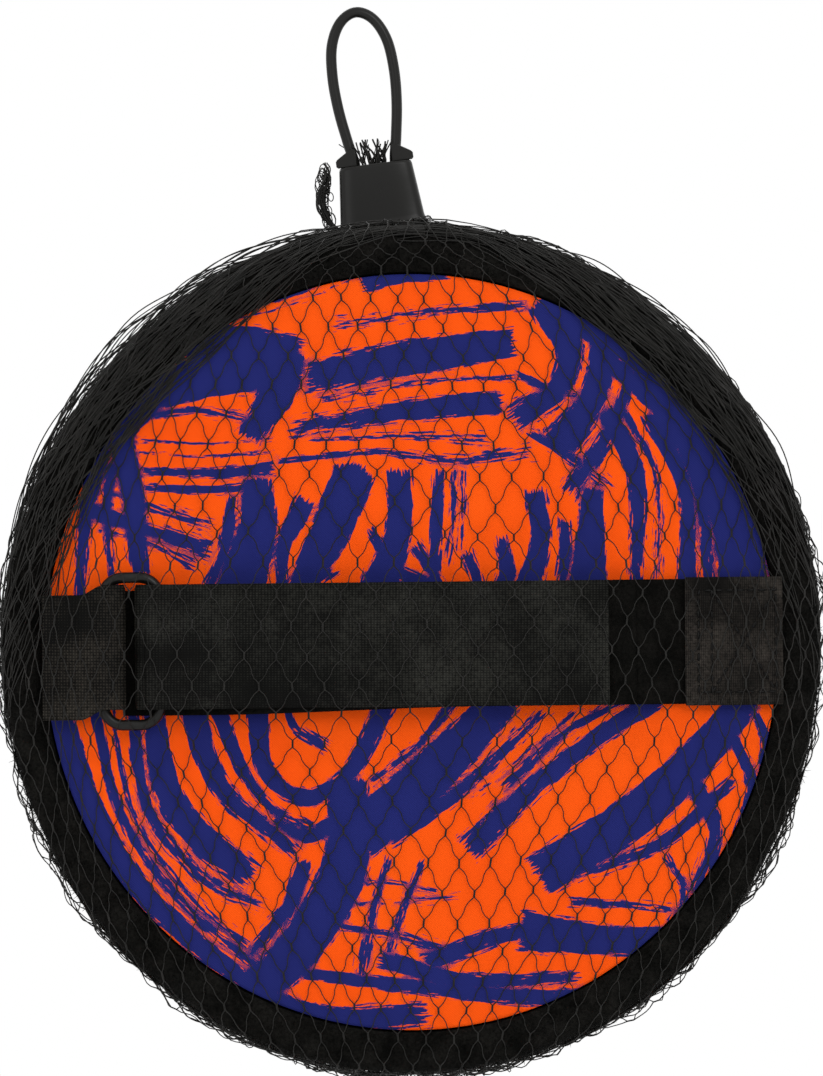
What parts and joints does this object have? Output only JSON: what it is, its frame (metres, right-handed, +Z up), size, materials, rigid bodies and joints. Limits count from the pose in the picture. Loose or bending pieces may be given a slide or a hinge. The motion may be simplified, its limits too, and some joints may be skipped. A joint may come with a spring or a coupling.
{
  "type": "catch disc set in a net bag",
  "caption": "Padded hook-and-loop catch discs with hand straps and a ball, packed in a black net bag closed by a plastic ferrule with a hang loop.",
  "frame": {"origin": "inside of the hang loop's crown, where a peg carries it", "axes": "+Z up, the front disc's printed face looks along -Y, +X to the right seen from the front"},
  "size_m": [0.1975, 0.1084, 0.2579],
  "materials": {
    "plush": "black loop-pile plush, very matt",
    "board": "stiff board, matt",
    "print": "orange diagonal twill with a dark blue brush-stroke print",
    "webbing": "woven black webbing with coarse cross ribs",
    "loop_webbing": "black loop fastener strip with woven edges",
    "hook_webbing": "woven back of a black hook fastener strip",
    "patch_webbing": "soft charcoal tape, fine grain",
    "plastic": "black moulded plastic, satin",
    "thread": "black sewing thread",
    "net": "fine black knotless netting, slight sheen",
    "ball_felt": "orange felt",
    "ball_core": "light sponge core"
  },
  "bodies": {
    "clip": {"hang_loop": "plastic", "ferrule": "plastic", "net_neck": "net", "net_tail": "net"},
    "bag": {"net_front": "net", "net_rear": "net", "net_band": "net", "front_catch_pad": "plush", "front_board": "board", "front_cover": "print", "front_ring_tab": "webbing", "front_loop_strap": "loop_webbing", "front_anchor_patch": "patch_webbing", "front_box_stitching": "thread", "rear_catch_pad": "plush", "rear_board": "board", "rear_cover": "print", "rear_ring_tab": "webbing", "rear_loop_strap": "loop_webbing", "rear_anchor_patch": "patch_webbing", "rear_box_stitching": "thread"},
    "ball": {"ball_core": "ball_core", "ball_felt_upper": "ball_felt", "ball_felt_lower": "ball_felt"},
    "front_buckle": {"front_ring": "plastic"},
    "front_strap_end": {"front_hook_strap": "hook_webbing"},
    "rear_buckle": {"rear_ring": "plastic"},
    "rear_strap_end": {"rear_hook_strap": "hook_webbing"}
  },
  "joints": [
    {"name": "neck_swing", "type": "hinge", "parent": "clip", "child": "bag", "pos_m": [0.01336, 0, -0.05119], "axis": [0, 1, 0], "range_deg": [-25, 25], "deforming": ["net_band", "net_neck", "net_tail"]},
    {"name": "ball_roll", "type": "hinge", "parent": "bag", "child": "ball", "pos_m": [0.01336, 0, -0.1534], "axis": [1, 0, 0], "continuous": true},
    {"name": "front_ring_turn", "type": "hinge", "parent": "bag", "child": "front_buckle", "pos_m": [-0.06044, -0.0476, -0.15227], "axis": [0.0105, 0, -0.9999], "range_deg": [0, 4.5]},
    {"name": "front_strap_peel", "type": "hinge", "parent": "bag", "child": "front_strap_end", "pos_m": [-0.04694, -0.0476, -0.15213], "axis": [0.0105, 0, -0.9999], "range_deg": [0, 8], "deforming": ["net_front"]},
    {"name": "rear_ring_turn", "type": "hinge", "parent": "bag", "child": "rear_buckle", "pos_m": [0.08716, 0.0476, -0.15227], "axis": [-0.0105, 0, -0.9999], "range_deg": [0, 4.5]},
    {"name": "rear_strap_peel", "type": "hinge", "parent": "bag", "child": "rear_strap_end", "pos_m": [0.07366, 0.0476, -0.15213], "axis": [-0.0105, 0, -0.9999], "range_deg": [0, 8], "deforming": ["net_rear"]}
  ]
}
